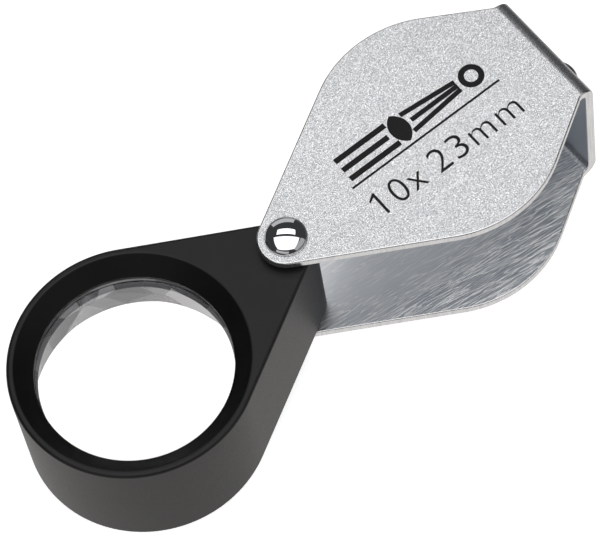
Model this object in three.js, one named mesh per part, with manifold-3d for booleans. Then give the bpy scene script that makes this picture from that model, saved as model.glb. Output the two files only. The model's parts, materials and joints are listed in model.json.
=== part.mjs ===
// Folding viewing loupe: a round doublet magnifier in a teardrop holder that swings on a domed rivet
// between the two plates of a bent sheet-metal cover. It is drawn opened out straight.
//
// Millimetres, +Z up. +X runs from the rivet to the cover's closed end, the plates lie flat, and the
// lowest point of the lower rivet head is at z = 0. The origin is midway along the opened length.

import * as THREE from "three";
import { mergeVertices } from "three/addons/utils/BufferGeometryUtils.js";
import Module from "manifold-3d";

const wasm = await Module();
wasm.setup();

// ---- Driving dimensions -------------------------------------------------------------------------

// Pieces that touch on the real object keep this much room between them.
const seatGap = 0.05;

// Cover: one strip of sheet, bent twice into a U.
const sheet = 1.15;
const bendOuterRadius = 1.9;
const tipRadius = 3.4;
const shoulderRadius = 14.55;
const shoulderFromPivot = 22.05;
const endWallFromPivot = 38.95;
const endWallHalfWidth = 7.8;

// Lens holder: a round ring that tapers to a tail around the rivet.
const holderThickness = 16.1;
const ringRadius = 14.4;
const ringFromPivot = 22.4;
const tailRadius = 3.2;
const holderEdge = 0.45;
const plateToHolder = 0.7;

// Optics.
const clearRadius = 11.5;
const lensRadius = 12.0;
const lensEdgeHeight = 2.0;
const lensCurveRadius = 27.0;
const lensBevel = 0.2;
const lensPlay = 0.1;
const recessRadius = 13.6;
const recessDepth = 1.95;
const lipHeight = 0.6;
const spacerInnerRadius = 11.3;

// Threaded ring that holds the glass in from below.
const threadRadius = 12.9;
const threadPlay = 0.15;
const retainerRecess = 0.7;
const retainerHeight = 2.05;
const retainerMouthRadius = 12.3;
const retainerLipHeight = 0.75;
const notchWidth = 1.2;
const notchDepth = 0.6;

// Two-piece pivot rivet.
const headRadius = 2.48;
const headHeight = 1.25;
const headRim = 0.1;
const shankRadius = 1.5;
const shankPlay = 0.1;
const pivotPlay = 0.08;
const postBoreRadius = 0.8;
const postBoreDepth = 9.0;
const pinRadius = 0.72;
const pinLength = 8.0;

// Washers between the plates and the tail.
const washerOuterRadius = 2.9;
const washerInnerRadius = 1.7;
const flatWasherHeight = 0.5;
const waveWasherHeight = 0.2;
const waveHeight = 0.14;
const waveCount = 3;

// Lanyard loop: bent wire, peened over behind the end wall.
const wireRadius = 0.6;
const wireHoleRadius = 0.7;
const loopHalfWidth = 2.2;
const loopReach = 3.2;
const peenRadius = 1.0;
const peenHeight = 0.35;

// Facets.
const turnedFacets = 64;
const smallFacets = 32;
const outlineFacets = 28;
const lensFacets = 56;

// ---- Derived places -----------------------------------------------------------------------------

const coverHeight = holderThickness + 2 * (sheet + plateToHolder);
const coverBottom = headHeight + seatGap;
const coverTop = coverBottom + coverHeight;
const holderBottom = coverBottom + sheet + plateToHolder;
const holderTop = holderBottom + holderThickness;
const pivotX = (ringFromPivot + ringRadius - endWallFromPivot - loopReach) / 2;
const ringX = pivotX - ringFromPivot;
const plateEndX = endWallFromPivot - bendOuterRadius;

// Heights inside the holder, from its lower face.
const lipTop = holderThickness - recessDepth;
const lipBottom = lipTop - lipHeight;
const retainerTop = retainerRecess + retainerHeight;
const threadTop = retainerTop + seatGap;
const eyeLensTop = lipBottom - seatGap;
const fieldLensBottom = retainerTop + seatGap;

// ---- Materials ----------------------------------------------------------------------------------

function metal(color, roughness) {
  return new THREE.MeshStandardMaterial({ color, roughness, metalness: 1 });
}

function plain(color, roughness) {
  return new THREE.MeshStandardMaterial({ color, roughness, metalness: 0 });
}

function glass() {
  const material = plain(0xf2f6f5, 0.02);
  material.transparent = true;
  material.opacity = 0.35;
  return material;
}

// ---- Geometry helpers ---------------------------------------------------------------------------

// Merges shared vertices and drops the triangles that collapse on the axis of a turned shape.
function closed(geometry) {
  geometry.deleteAttribute("normal");
  geometry.deleteAttribute("uv");
  const merged = mergeVertices(geometry, 1e-5);
  const index = merged.getIndex().array;
  const kept = [];
  for (let i = 0; i < index.length; i += 3) {
    const [a, b, c] = [index[i], index[i + 1], index[i + 2]];
    if (a !== b && b !== c && c !== a) {
      kept.push(a, b, c);
    }
  }
  merged.setIndex(kept);
  return merged;
}

function toSolid(geometry) {
  const merged = closed(geometry);
  return new wasm.Manifold(new wasm.Mesh({
    numProp: 3,
    vertProperties: new Float32Array(merged.getAttribute("position").array),
    triVerts: new Uint32Array(merged.getIndex().array),
  }));
}

function toGeometry(solid) {
  const mesh = solid.getMesh();
  const geometry = new THREE.BufferGeometry();
  geometry.setAttribute("position", new THREE.BufferAttribute(mesh.vertProperties, 3));
  geometry.setIndex(new THREE.BufferAttribute(mesh.triVerts, 1));
  return geometry;
}

// Turns a profile of [radius, height] points about Z. The profile runs with the material on its left.
function turned(profile, facets = turnedFacets) {
  const points = profile.map(([radius, height]) => new THREE.Vector2(radius, height));
  const geometry = new THREE.LatheGeometry(points, facets);
  geometry.rotateX(Math.PI / 2);
  return closed(geometry);
}

// A plain upright cylinder from one height to another.
function rod(radius, bottom, top, facets = smallFacets) {
  return turned([[0, bottom], [radius, bottom], [radius, top], [0, top]], facets);
}

// A flat ring with a rectangular section, closed on itself.
function washerRing(height) {
  return turned([
    [washerInnerRadius, 0],
    [washerOuterRadius, 0],
    [washerOuterRadius, height],
    [washerInnerRadius, height],
    [washerInnerRadius, 0],
  ], smallFacets);
}

function named(name, geometry, material, x = 0, z = 0) {
  const mesh = new THREE.Mesh(geometry, material);
  mesh.name = name;
  mesh.position.set(x, 0, z);
  return mesh;
}

// ---- Cover --------------------------------------------------------------------------------------

// One plate seen from above, pivot at the origin: round tip, straight flanks, round shoulders and
// straight sides that run in to the end wall.
function plateOutline() {
  const flankAngle = Math.acos((tipRadius - shoulderRadius) / shoulderFromPivot);
  const toCorner = new THREE.Vector2(plateEndX - shoulderFromPivot, endWallHalfWidth);
  const sideAngle = toCorner.angle() + Math.acos(shoulderRadius / toCorner.length());
  const outline = new THREE.Shape();
  outline.absarc(0, 0, tipRadius, flankAngle, 2 * Math.PI - flankAngle, false);
  outline.absarc(shoulderFromPivot, 0, shoulderRadius, -flankAngle, -sideAngle, false);
  outline.lineTo(plateEndX, -endWallHalfWidth);
  outline.lineTo(plateEndX, endWallHalfWidth);
  outline.absarc(shoulderFromPivot, 0, shoulderRadius, sideAngle, flankAngle, false);
  outline.closePath();
  return outline;
}

// The end wall with its two bends, seen from the side: x along the plates, y up.
function endWallSection() {
  const legStart = plateEndX - sheet;
  const bendInnerRadius = bendOuterRadius - sheet;
  const lowBend = bendOuterRadius;
  const highBend = coverHeight - bendOuterRadius;
  const quarter = Math.PI / 2;
  const section = new THREE.Shape();
  section.moveTo(legStart, 0);
  section.absarc(plateEndX, lowBend, bendOuterRadius, -quarter, 0, false);
  section.absarc(plateEndX, highBend, bendOuterRadius, 0, quarter, false);
  section.lineTo(legStart, coverHeight);
  section.lineTo(legStart, coverHeight - sheet);
  section.absarc(plateEndX, highBend, bendInnerRadius, quarter, 0, true);
  section.absarc(plateEndX, lowBend, bendInnerRadius, 0, -quarter, true);
  section.lineTo(legStart, sheet);
  section.closePath();
  return section;
}

function coverGeometry() {
  const flat = { depth: sheet, bevelEnabled: false, curveSegments: outlineFacets };
  const lowerPlate = new THREE.ExtrudeGeometry(plateOutline(), flat);
  const upperPlate = lowerPlate.clone().translate(0, 0, coverHeight - sheet);
  const across = { depth: 2 * endWallHalfWidth, bevelEnabled: false, curveSegments: 8 };
  const endWall = new THREE.ExtrudeGeometry(endWallSection(), across);
  endWall.rotateX(Math.PI / 2);
  endWall.translate(0, endWallHalfWidth, 0);
  let cover = toSolid(lowerPlate).add(toSolid(upperPlate)).add(toSolid(endWall));
  const rivetHole = rod(shankRadius + shankPlay, -sheet, coverHeight + sheet);
  cover = cover.subtract(toSolid(rivetHole));
  for (const side of [-1, 1]) {
    const wireHole = rod(wireHoleRadius, -sheet, 2 * sheet, 16);
    wireHole.rotateY(Math.PI / 2);
    wireHole.translate(endWallFromPivot - sheet, side * loopHalfWidth, coverHeight / 2);
    cover = cover.subtract(toSolid(wireHole));
  }
  return toGeometry(cover);
}

// ---- Lens holder --------------------------------------------------------------------------------

function holderOutline() {
  const flankAngle = Math.acos((ringRadius - tailRadius) / ringFromPivot);
  const outline = new THREE.Shape();
  outline.absarc(0, 0, tailRadius, -flankAngle, flankAngle, false);
  outline.absarc(-ringFromPivot, 0, ringRadius, flankAngle, 2 * Math.PI - flankAngle, false);
  outline.closePath();
  return outline;
}

// Everything that is turned out of the ring, from the lower face up: thread, lens seat, lip, recess.
function holderCore() {
  const beyond = 1.0;
  const chamfer = 0.4;
  const recessSlope = (recessRadius - clearRadius) / recessDepth;
  return turned([
    [0, -beyond],
    [threadRadius + chamfer + beyond, -beyond],
    [threadRadius, chamfer],
    [threadRadius, threadTop],
    [lensRadius + lensPlay, threadTop],
    [lensRadius + lensPlay, lipBottom],
    [clearRadius, lipBottom],
    [clearRadius, lipTop],
    [recessRadius + beyond * recessSlope, holderThickness + beyond],
    [0, holderThickness + beyond],
  ]);
}

function holderGeometry() {
  const body = new THREE.ExtrudeGeometry(holderOutline(), {
    depth: holderThickness - 2 * holderEdge,
    bevelEnabled: true,
    bevelThickness: holderEdge,
    bevelSize: holderEdge,
    bevelOffset: -holderEdge,
    bevelSegments: 2,
    curveSegments: outlineFacets,
  });
  body.translate(0, 0, holderEdge);
  const core = holderCore().translate(-ringFromPivot, 0, 0);
  const pivotBore = rod(shankRadius + pivotPlay, -1, holderThickness + 1, turnedFacets);
  return toGeometry(toSolid(body).subtract(toSolid(core)).subtract(toSolid(pivotBore)));
}

// ---- Glass, spacer and retaining ring -----------------------------------------------------------

// How far a lens surface has fallen away at a radius from its vertex.
function sag(radius) {
  return lensCurveRadius - Math.sqrt(lensCurveRadius ** 2 - radius ** 2);
}

// Plano-convex lens, flat side up with its face at z = 0, curved side down.
function lensGeometry() {
  const steps = 8;
  const rim = -lensEdgeHeight;
  const profile = [];
  for (let i = 0; i <= steps; i += 1) {
    const radius = lensRadius * i / steps;
    profile.push([radius, rim - sag(lensRadius) + sag(radius)]);
  }
  profile.push([lensRadius, -lensBevel], [lensRadius - lensBevel, 0], [0, 0]);
  return turned(profile, lensFacets);
}

// Its conical ends bear on the curved faces of the two lenses.
function spacerGeometry() {
  const rimFall = sag(lensRadius) - sag(spacerInnerRadius);
  const top = eyeLensTop - lensEdgeHeight - seatGap;
  const bottom = fieldLensBottom + lensEdgeHeight + seatGap;
  return turned([
    [spacerInnerRadius, bottom + rimFall],
    [lensRadius, bottom],
    [lensRadius, top],
    [spacerInnerRadius, top - rimFall],
    [spacerInnerRadius, bottom + rimFall],
  ], lensFacets);
}

function retainerGeometry() {
  const outer = threadRadius - threadPlay;
  const ring = turned([
    [retainerMouthRadius, retainerRecess],
    [outer, retainerRecess],
    [outer, retainerTop],
    [clearRadius, retainerTop],
    [clearRadius, retainerTop - retainerLipHeight],
    [retainerMouthRadius, retainerRecess],
  ]);
  const notch = new THREE.BoxGeometry(notchWidth, 2 * ringRadius, 2 * notchDepth);
  notch.translate(0, 0, retainerRecess);
  return toGeometry(toSolid(ring).subtract(toSolid(notch)));
}

// ---- Rivet and washers --------------------------------------------------------------------------

// Points of a low dome from its rim to its crown, rising from height zero.
function domeProfile() {
  const steps = 6;
  const rise = headHeight - headRim;
  const sphere = (headRadius ** 2 + rise ** 2) / (2 * rise);
  const halfAngle = Math.asin(headRadius / sphere);
  const points = [[headRadius, 0]];
  for (let i = 0; i < steps; i += 1) {
    const angle = halfAngle * (1 - i / steps);
    points.push([sphere * Math.sin(angle), headRim + rise - sphere * (1 - Math.cos(angle))]);
  }
  points.push([0, headHeight]);
  return points;
}

// Upper head with a tubular shank that reaches down through both plates.
function rivetPostGeometry() {
  const headSeat = coverTop + seatGap;
  const shankEnd = coverBottom + 2 * seatGap;
  const boreTop = shankEnd + postBoreDepth;
  const dome = domeProfile().map(([radius, height]) => [radius, headSeat + height]);
  return turned([
    [0, boreTop],
    [postBoreRadius, boreTop],
    [postBoreRadius, shankEnd],
    [shankRadius, shankEnd],
    [shankRadius, headSeat],
    ...dome,
  ], smallFacets);
}

// Lower head with a pin that is pressed into the tubular shank.
function rivetCapGeometry() {
  const headSeat = coverBottom - seatGap;
  const dome = domeProfile().map(([radius, height]) => [radius, headSeat - height]);
  return turned([
    ...dome.reverse(),
    [pinRadius, headSeat],
    [pinRadius, headSeat + pinLength],
    [0, headSeat + pinLength],
  ], smallFacets);
}

// Thin spring washer, bent into three waves.
function waveWasherGeometry() {
  const geometry = washerRing(waveWasherHeight);
  const position = geometry.getAttribute("position");
  for (let i = 0; i < position.count; i += 1) {
    const angle = Math.atan2(position.getY(i), position.getX(i));
    position.setZ(i, position.getZ(i) + waveHeight * Math.cos(waveCount * angle));
  }
  return geometry;
}

// ---- Lanyard loop -------------------------------------------------------------------------------

// Centre line of the wire: out through the end wall, round a half circle and back in.
class LoopPath extends THREE.Curve {
  getPoint(t, target = new THREE.Vector3()) {
    const start = endWallFromPivot - sheet - seatGap - peenHeight / 2;
    const bowX = endWallFromPivot + loopReach - wireRadius - loopHalfWidth;
    const leg = bowX - start;
    const bow = Math.PI * loopHalfWidth;
    const along = t * (2 * leg + bow);
    if (along <= leg) {
      return target.set(start + along, -loopHalfWidth, 0);
    }
    if (along >= leg + bow) {
      return target.set(bowX - (along - leg - bow), loopHalfWidth, 0);
    }
    const angle = (along - leg) / loopHalfWidth - Math.PI / 2;
    return target.set(bowX + loopHalfWidth * Math.cos(angle), loopHalfWidth * Math.sin(angle), 0);
  }
}

function loopGeometry() {
  const wireSection = new THREE.Shape();
  wireSection.absarc(0, 0, wireRadius, 0, 2 * Math.PI, false);
  const wire = new THREE.ExtrudeGeometry(wireSection, {
    extrudePath: new LoopPath(),
    steps: 30,
    curveSegments: 5,
    bevelEnabled: false,
  });
  let loop = toSolid(wire);
  const peenX = endWallFromPivot - sheet - seatGap - peenHeight;
  for (const side of [-1, 1]) {
    const peen = turned([
      [0, 0],
      [peenRadius * 0.7, 0],
      [peenRadius, peenHeight * 0.5],
      [peenRadius, peenHeight],
      [0, peenHeight],
    ], 20);
    peen.rotateY(Math.PI / 2);
    peen.translate(peenX, side * loopHalfWidth, 0);
    loop = loop.add(toSolid(peen));
  }
  return toGeometry(loop);
}

// ---- Assembly -----------------------------------------------------------------------------------

const satinSteel = metal(0xc9cbcc, 0.38);
const blackAnodised = metal(0x2a2a2c, 0.55);
const bareAluminium = metal(0xa9a9ab, 0.42);
const polishedSteel = metal(0xdcdcdc, 0.08);
const springSteel = metal(0x8e8f91, 0.3);
const nylon = plain(0xe8e6de, 0.5);

const loupe = new THREE.Group();

loupe.add(named("cover", coverGeometry(), satinSteel, pivotX, coverBottom));
loupe.add(named("lens_holder", holderGeometry(), blackAnodised, pivotX, holderBottom));

const eyeLens = lensGeometry();
const fieldLens = lensGeometry().rotateX(Math.PI);
loupe.add(named("eye_lens", eyeLens, glass(), ringX, holderBottom + eyeLensTop));
loupe.add(named("field_lens", fieldLens, glass(), ringX, holderBottom + fieldLensBottom));
loupe.add(named("lens_spacer", spacerGeometry(), bareAluminium, ringX, holderBottom));
loupe.add(named("retaining_ring", retainerGeometry(), blackAnodised.clone(), ringX, holderBottom));

loupe.add(named("rivet_post", rivetPostGeometry(), polishedSteel, pivotX, 0));
loupe.add(named("rivet_cap", rivetCapGeometry(), polishedSteel.clone(), pivotX, 0));

const upperGapMiddle = holderTop + plateToHolder / 2;
const lowerGapMiddle = holderBottom - plateToHolder / 2;
const flatWasherZ = upperGapMiddle - flatWasherHeight / 2;
const waveWasherZ = lowerGapMiddle - waveWasherHeight / 2;
loupe.add(named("upper_washer", washerRing(flatWasherHeight), nylon, pivotX, flatWasherZ));
loupe.add(named("wave_washer", waveWasherGeometry(), springSteel, pivotX, waveWasherZ));

const loopZ = coverBottom + coverHeight / 2;
loupe.add(named("lanyard_loop", loopGeometry(), polishedSteel.clone(), pivotX, loopZ));

export default loupe;
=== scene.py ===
"""Folding viewing loupe, opened out straight on a white table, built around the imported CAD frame.

Shapes are worked out in millimetres in the frame's own axes: +X from the rivet to the cover's closed
end, +Z up through the front plate. Meshes are written in metres.
"""

import json
import math

import bmesh
import bpy
from mathutils import Matrix, Vector


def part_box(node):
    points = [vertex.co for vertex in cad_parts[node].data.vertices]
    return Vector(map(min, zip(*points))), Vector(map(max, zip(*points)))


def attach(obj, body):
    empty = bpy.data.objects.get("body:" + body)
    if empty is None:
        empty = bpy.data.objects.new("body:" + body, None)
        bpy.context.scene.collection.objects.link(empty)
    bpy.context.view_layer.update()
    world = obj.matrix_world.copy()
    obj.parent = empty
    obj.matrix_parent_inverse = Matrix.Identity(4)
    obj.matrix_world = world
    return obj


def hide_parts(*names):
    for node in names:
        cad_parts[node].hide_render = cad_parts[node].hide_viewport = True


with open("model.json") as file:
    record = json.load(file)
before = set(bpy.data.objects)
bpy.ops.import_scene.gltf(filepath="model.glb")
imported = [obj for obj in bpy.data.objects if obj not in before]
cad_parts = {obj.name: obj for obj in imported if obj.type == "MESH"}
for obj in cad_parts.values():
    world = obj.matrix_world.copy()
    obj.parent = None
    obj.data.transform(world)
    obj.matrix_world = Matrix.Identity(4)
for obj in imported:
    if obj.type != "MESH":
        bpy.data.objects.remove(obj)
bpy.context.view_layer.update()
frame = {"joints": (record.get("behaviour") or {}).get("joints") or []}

MM = 0.001


def box_mm(node):
    """Lowest and highest corner of a CAD node, in millimetres."""
    low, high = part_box(node)
    return low / MM, high / MM


# ---- Sizes ----------------------------------------------------------------------------------------

cover_low, cover_high = box_mm("cover")
holder_low, holder_high = box_mm("lens_holder")
_, eye_high = box_mm("eye_lens")
field_low, _ = box_mm("field_lens")
spacer_low, spacer_high = box_mm("lens_spacer")
retainer_low, retainer_high = box_mm("retaining_ring")
post_low, post_high = box_mm("rivet_post")
cap_low, cap_high = box_mm("rivet_cap")
washer_low, washer_high = box_mm("upper_washer")
wave_low, wave_high = box_mm("wave_washer")
loop_low, loop_high = box_mm("lanyard_loop")

PIVOT = Vector((frame["joints"][0]["pos_m"][0] / MM, 0, 0))

# Cover
SHEET = 1.15
BEND_OUTER = 1.9
TIP_RADIUS = PIVOT.x - cover_low.x
SHOULDER_RADIUS = cover_high.y
SHOULDER_FROM_PIVOT = 22.05
END_WALL_FROM_PIVOT = cover_high.x - PIVOT.x
END_WALL_HALF_WIDTH = 7.8
COVER_EDGE = 0.2
HOLLOW_CORNER = 1.2
PLATE_LENGTH = END_WALL_FROM_PIVOT - BEND_OUTER
BEND_MIDDLE = BEND_OUTER - SHEET / 2
BEND_ARC = BEND_MIDDLE * math.pi / 2
WALL_FLAT = cover_high.z - cover_low.z - 2 * BEND_OUTER

# Lens holder
RING_RADIUS = holder_high.y
RING = Vector((holder_low.x + RING_RADIUS, 0, 0))
RING_FROM_PIVOT = PIVOT.x - RING.x
TAIL_RADIUS = holder_high.x - PIVOT.x
HOLDER_EDGE = 0.45
RECESS_RADIUS = 13.6
RECESS_DEPTH = 1.95
CLEAR_RADIUS = 11.5
SEAT_PLAY = 0.05
BORE_PLAY = 0.1
THREAD_PLAY = 0.15
LIP_BOTTOM = eye_high.z + SEAT_PLAY
BORE_RADIUS = eye_high.y + BORE_PLAY
THREAD_RADIUS = retainer_high.y + THREAD_PLAY
THREAD_TOP = retainer_high.z + SEAT_PLAY
MOUTH_CHAMFER = 0.4
PIVOT_BORE = 1.58

# How far turned edges are rounded
RECESS_EDGE = 0.5
BROKEN_EDGE = 0.1
TURNED_EDGE = 0.08
CRISP_EDGE = 0.05
WAVE_EDGE = 0.04

# Glass, spacer and retaining ring
LENS_RADIUS = eye_high.y
LENS_EDGE = 2.0
LENS_CURVE = 27.0
LENS_BEVEL = 0.2
SPACER_INNER = 11.3
RETAINER_MOUTH = 12.3
RETAINER_LAND = 0.75
NOTCH_WIDTH = 1.2

# Rivet and washers
HEAD_RADIUS = post_high.y
HEAD_HEIGHT = 1.25
HEAD_RIM = 0.1
HEAD_FOOT_INSET = 0.05
HEAD_FOOT_HEIGHT = 0.04
SHANK_RADIUS = 1.5
PIN_BORE = 0.8
PIN_BORE_DEPTH = 9.0
PIN_RADIUS = 0.72
PLATE_HOLE = 1.6
WASHER_HOLE = 1.7
WAVE_THICKNESS = 0.2

# Lanyard loop
WIRE_RADIUS = 0.6
WIRE_HOLE = 0.7
WIRE_HOLE_FLARE = 0.2
PEEN_RADIUS = 1.0
PEEN_HEIGHT = 0.35
PEEN_GAP = 0.05
# Shares of the peened head's radius and height, from the wall to near its crown.
PEEN_SHAPE = ((1.0, 0.0), (1.0, 0.5), (0.8, 0.85), (0.45, 1.0))
LOOP_HALF_WIDTH = loop_high.y - PEEN_RADIUS
LOOP_MIDDLE = (loop_low.z + loop_high.z) / 2

# Mesh fineness: facets of round pieces, the angle above which an edge is sharp, how far cutters
# stick out of what they cut, the margin for telling faces apart by place, and how close two points
# are one, in the flat strip or the ink and then in a finished piece.
ROUND = 192
SMALL_ROUND = 96
WIRE_ROUND = 28
BEND_STEPS = 12
SHARP = math.radians(32)
LENS_SHARP = math.radians(20)
OVERSHOOT = 1.0
MARGIN = 0.01
SAME_POINT = 1e-5
WELD = 0.001 * MM


# ---- Materials ------------------------------------------------------------------------------------

def new_material(name):
    """A node material, with its tree, its shader and its object coordinates."""
    material = bpy.data.materials.new(name)
    material.use_nodes = True
    tree = material.node_tree
    shader = tree.nodes["Principled BSDF"]
    coords = tree.nodes.new("ShaderNodeTexCoord").outputs["Object"]
    return material, tree, shader, coords


def node(tree, kind, **settings):
    """A shader node with these properties."""
    made = tree.nodes.new(kind)
    for key, value in settings.items():
        setattr(made, key, value)
    return made


def mapped(tree, coords, scale, turn=0.0):
    """Coordinates turned about Z and then stretched, so that a pattern has its own grain."""
    turned = node(tree, "ShaderNodeMapping", vector_type="POINT")
    turned.inputs["Rotation"].default_value = (0, 0, turn)
    tree.links.new(coords, turned.inputs["Vector"])
    stretched = node(tree, "ShaderNodeMapping", vector_type="POINT")
    stretched.inputs["Scale"].default_value = scale
    tree.links.new(turned.outputs["Vector"], stretched.inputs["Vector"])
    return stretched.outputs["Vector"]


def noise(tree, vector, scale, detail, roughness=0.5):
    """Smooth noise from 0 to 1, with scale cells to a metre."""
    made = node(tree, "ShaderNodeTexNoise")
    made.inputs["Scale"].default_value = scale
    made.inputs["Detail"].default_value = detail
    made.inputs["Roughness"].default_value = roughness
    tree.links.new(vector, made.inputs["Vector"])
    return made.outputs["Fac"]


def remap(tree, value, low, high, to_low, to_high):
    """The value's range from low to high, moved to the other range and held inside it."""
    made = node(tree, "ShaderNodeMapRange")
    made.inputs["From Min"].default_value = low
    made.inputs["From Max"].default_value = high
    made.inputs["To Min"].default_value = to_low
    made.inputs["To Max"].default_value = to_high
    tree.links.new(value, made.inputs["Value"])
    return made.outputs["Result"]


def from_noise(tree, field, to_low, to_high):
    """Noise, most of which lies from 0.3 to 0.7, moved to another range."""
    return remap(tree, field, 0.3, 0.7, to_low, to_high)


def combine(tree, operation, first, second):
    """Arithmetic on two values, each a socket or a number."""
    made = node(tree, "ShaderNodeMath", operation=operation)
    for socket, value in zip(made.inputs, (first, second)):
        if isinstance(value, (int, float)):
            socket.default_value = value
        else:
            tree.links.new(value, socket)
    return made.outputs["Value"]


def absolute(tree, value):
    """The value without its sign."""
    made = node(tree, "ShaderNodeMath", operation="ABSOLUTE")
    tree.links.new(value, made.inputs[0])
    return made.outputs["Value"]


def distance_from(tree, vector, point):
    """How far the coordinates are from a fixed point."""
    made = node(tree, "ShaderNodeVectorMath", operation="DISTANCE")
    tree.links.new(vector, made.inputs[0])
    made.inputs[1].default_value = point
    return made.outputs["Value"]


def blend_colors(tree, factor, first, second):
    """A colour between two, by a factor from 0 to 1."""
    made = node(tree, "ShaderNodeMix", data_type="RGBA")
    made.inputs["A"].default_value = (*first, 1)
    made.inputs["B"].default_value = (*second, 1)
    tree.links.new(factor, made.inputs["Factor"])
    return made.outputs["Result"]


def patches(tree, vector, scale):
    """Random values, each the same all over one cell of a Voronoi pattern."""
    cells = node(tree, "ShaderNodeTexVoronoi", feature="F1")
    cells.inputs["Scale"].default_value = scale
    tree.links.new(vector, cells.inputs["Vector"])
    values = node(tree, "ShaderNodeSeparateColor")
    tree.links.new(cells.outputs["Color"], values.inputs["Color"])
    return values.outputs


def hairlines(tree, vector):
    """Thin lines where a stretched noise crosses its middle value."""
    field = noise(tree, vector, 1.0, 0.0)
    away = absolute(tree, combine(tree, "SUBTRACT", field, 0.5))
    return remap(tree, away, 0.0, 0.04, 1.0, 0.0)


def bump(tree, shader, height, strength, distance):
    """Raises the surface's shading by a height, over a distance in metres."""
    made = node(tree, "ShaderNodeBump")
    made.inputs["Strength"].default_value = strength
    made.inputs["Distance"].default_value = distance
    tree.links.new(height, made.inputs["Height"])
    tree.links.new(made.outputs["Normal"], shader.inputs["Normal"])


def choose_by_ray(tree, ray, usual, special, target):
    """Sends usual to the target socket, and special for one kind of ray."""
    path = node(tree, "ShaderNodeLightPath")
    mix = node(tree, "ShaderNodeMixShader")
    tree.links.new(path.outputs[ray], mix.inputs["Fac"])
    tree.links.new(usual, mix.inputs[1])
    tree.links.new(special, mix.inputs[2])
    tree.links.new(mix.outputs["Shader"], target)


def satin_steel():
    """Bead-blasted outside of the cover: an even silver with a fine sparkle."""
    material, tree, shader, coords = new_material("satin_steel")
    shader.inputs["Metallic"].default_value = 0.90
    sparkle = patches(tree, coords, 14000)["Red"]
    pits = noise(tree, coords, 8200, 0.0)
    grain = combine(tree, "ADD", combine(tree, "MULTIPLY", pits, 0.25), sparkle)
    shade = remap(tree, grain, -0.05, 1.15, 0.0, 1.0)
    color = blend_colors(tree, shade, (0.22, 0.225, 0.245), (0.985, 0.99, 1.0))
    tree.links.new(color, shader.inputs["Base Color"])
    tree.links.new(remap(tree, grain, -0.05, 1.15, 0.31, 0.24), shader.inputs["Roughness"])
    bump(tree, shader, grain, 0.3, 0.00003)
    return material


# The plates' insides are smooth within an oval about this point and worn outside it, where the scratches
# carry painted highlights and the steel round them is made darker.
SMOOTH_MIDDLE = Vector((PIVOT.x + 16, 3, 0)) * MM
SMOOTH_STRETCH = Vector((0.55, 1, 0))
WEAR_AND_HIGHLIGHT_START = 8.0 * MM
WEAR_AND_HIGHLIGHT_FULL = 13.0 * MM


def on_plates(tree):
    """1 on faces that lie level, 0 on upright ones."""
    facing = node(tree, "ShaderNodeSeparateXYZ")
    tree.links.new(node(tree, "ShaderNodeTexCoord").outputs["Normal"], facing.inputs["Vector"])
    return absolute(tree, facing.outputs["Z"])


def brushed_steel():
    """Inside of the cover: brushed along its length by hand, smooth in the middle and on the end
    wall, and scored towards the edges of the plates, where the scratches are painted brighter as
    painted highlights. The end wall is painted darker than the plates, as painted shade."""
    material, tree, shader, coords = new_material("brushed_steel")
    shader.inputs["Metallic"].default_value = 1.0
    fine = noise(tree, mapped(tree, coords, (330, 11000, 11000), math.radians(7)), 1.0, 1.0, 0.7)
    cuts = hairlines(tree, mapped(tree, coords, (170, 3600, 3600), math.radians(3)))
    stray = hairlines(tree, mapped(tree, coords, (230, 3000, 3000), math.radians(11)))
    reach = distance_from(tree, mapped(tree, coords, SMOOTH_STRETCH), SMOOTH_MIDDLE * SMOOTH_STRETCH)
    on_plate = on_plates(tree)
    # This mask places both the real worn texture and the painted highlights on the scratches.
    wear_and_highlight = combine(tree, "MULTIPLY", remap(tree, reach, WEAR_AND_HIGHLIGHT_START, WEAR_AND_HIGHLIGHT_FULL, 0.15, 1.0), on_plate)
    scored = combine(tree, "MULTIPLY", combine(tree, "MAXIMUM", cuts, stray), 2.2)
    # The scratches are painted brighter than the steel round them: painted highlights on real scoring.
    bright = combine(tree, "MULTIPLY", scored, wear_and_highlight)
    worn = combine(tree, "MULTIPLY", combine(tree, "SUBTRACT", fine, 0.5), wear_and_highlight)
    # The steel round the scratches is made darker towards the plates' edges.
    dulled = combine(tree, "SUBTRACT", bright, combine(tree, "MULTIPLY", wear_and_highlight, 0.35))
    tone = combine(tree, "ADD", combine(tree, "MULTIPLY", worn, 2.2), dulled)
    # Upright faces, the end wall, get a darker colour than the level plates: painted shade.
    base = remap(tree, on_plate, 0.0, 1.0, 0.12, 0.55)
    shade = combine(tree, "ADD", tone, base)
    color = blend_colors(tree, shade, (0.465, 0.505, 0.565), (1.0, 1.0, 1.0))
    tree.links.new(color, shader.inputs["Base Color"])
    tree.links.new(remap(tree, worn, -0.3, 0.3, 0.28, 0.40), shader.inputs["Roughness"])
    bump(tree, shader, combine(tree, "SUBTRACT", worn, bright), 0.4, 0.00002)
    return material


def sheared_edge():
    """Cut edge of the sheet, rubbed smooth, with faint marks across its thickness."""
    material, tree, shader, coords = new_material("sheared_edge")
    shader.inputs["Metallic"].default_value = 1.0
    marks = noise(tree, mapped(tree, coords, (3200, 3200, 220)), 1.0, 2.0)
    color = blend_colors(tree, from_noise(tree, marks, 0.0, 1.0), (0.70, 0.70, 0.71), (0.86, 0.86, 0.865))
    tree.links.new(color, shader.inputs["Base Color"])
    tree.links.new(from_noise(tree, marks, 0.16, 0.30), shader.inputs["Roughness"])
    bump(tree, shader, marks, 0.12, 0.00002)
    return material


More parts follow.
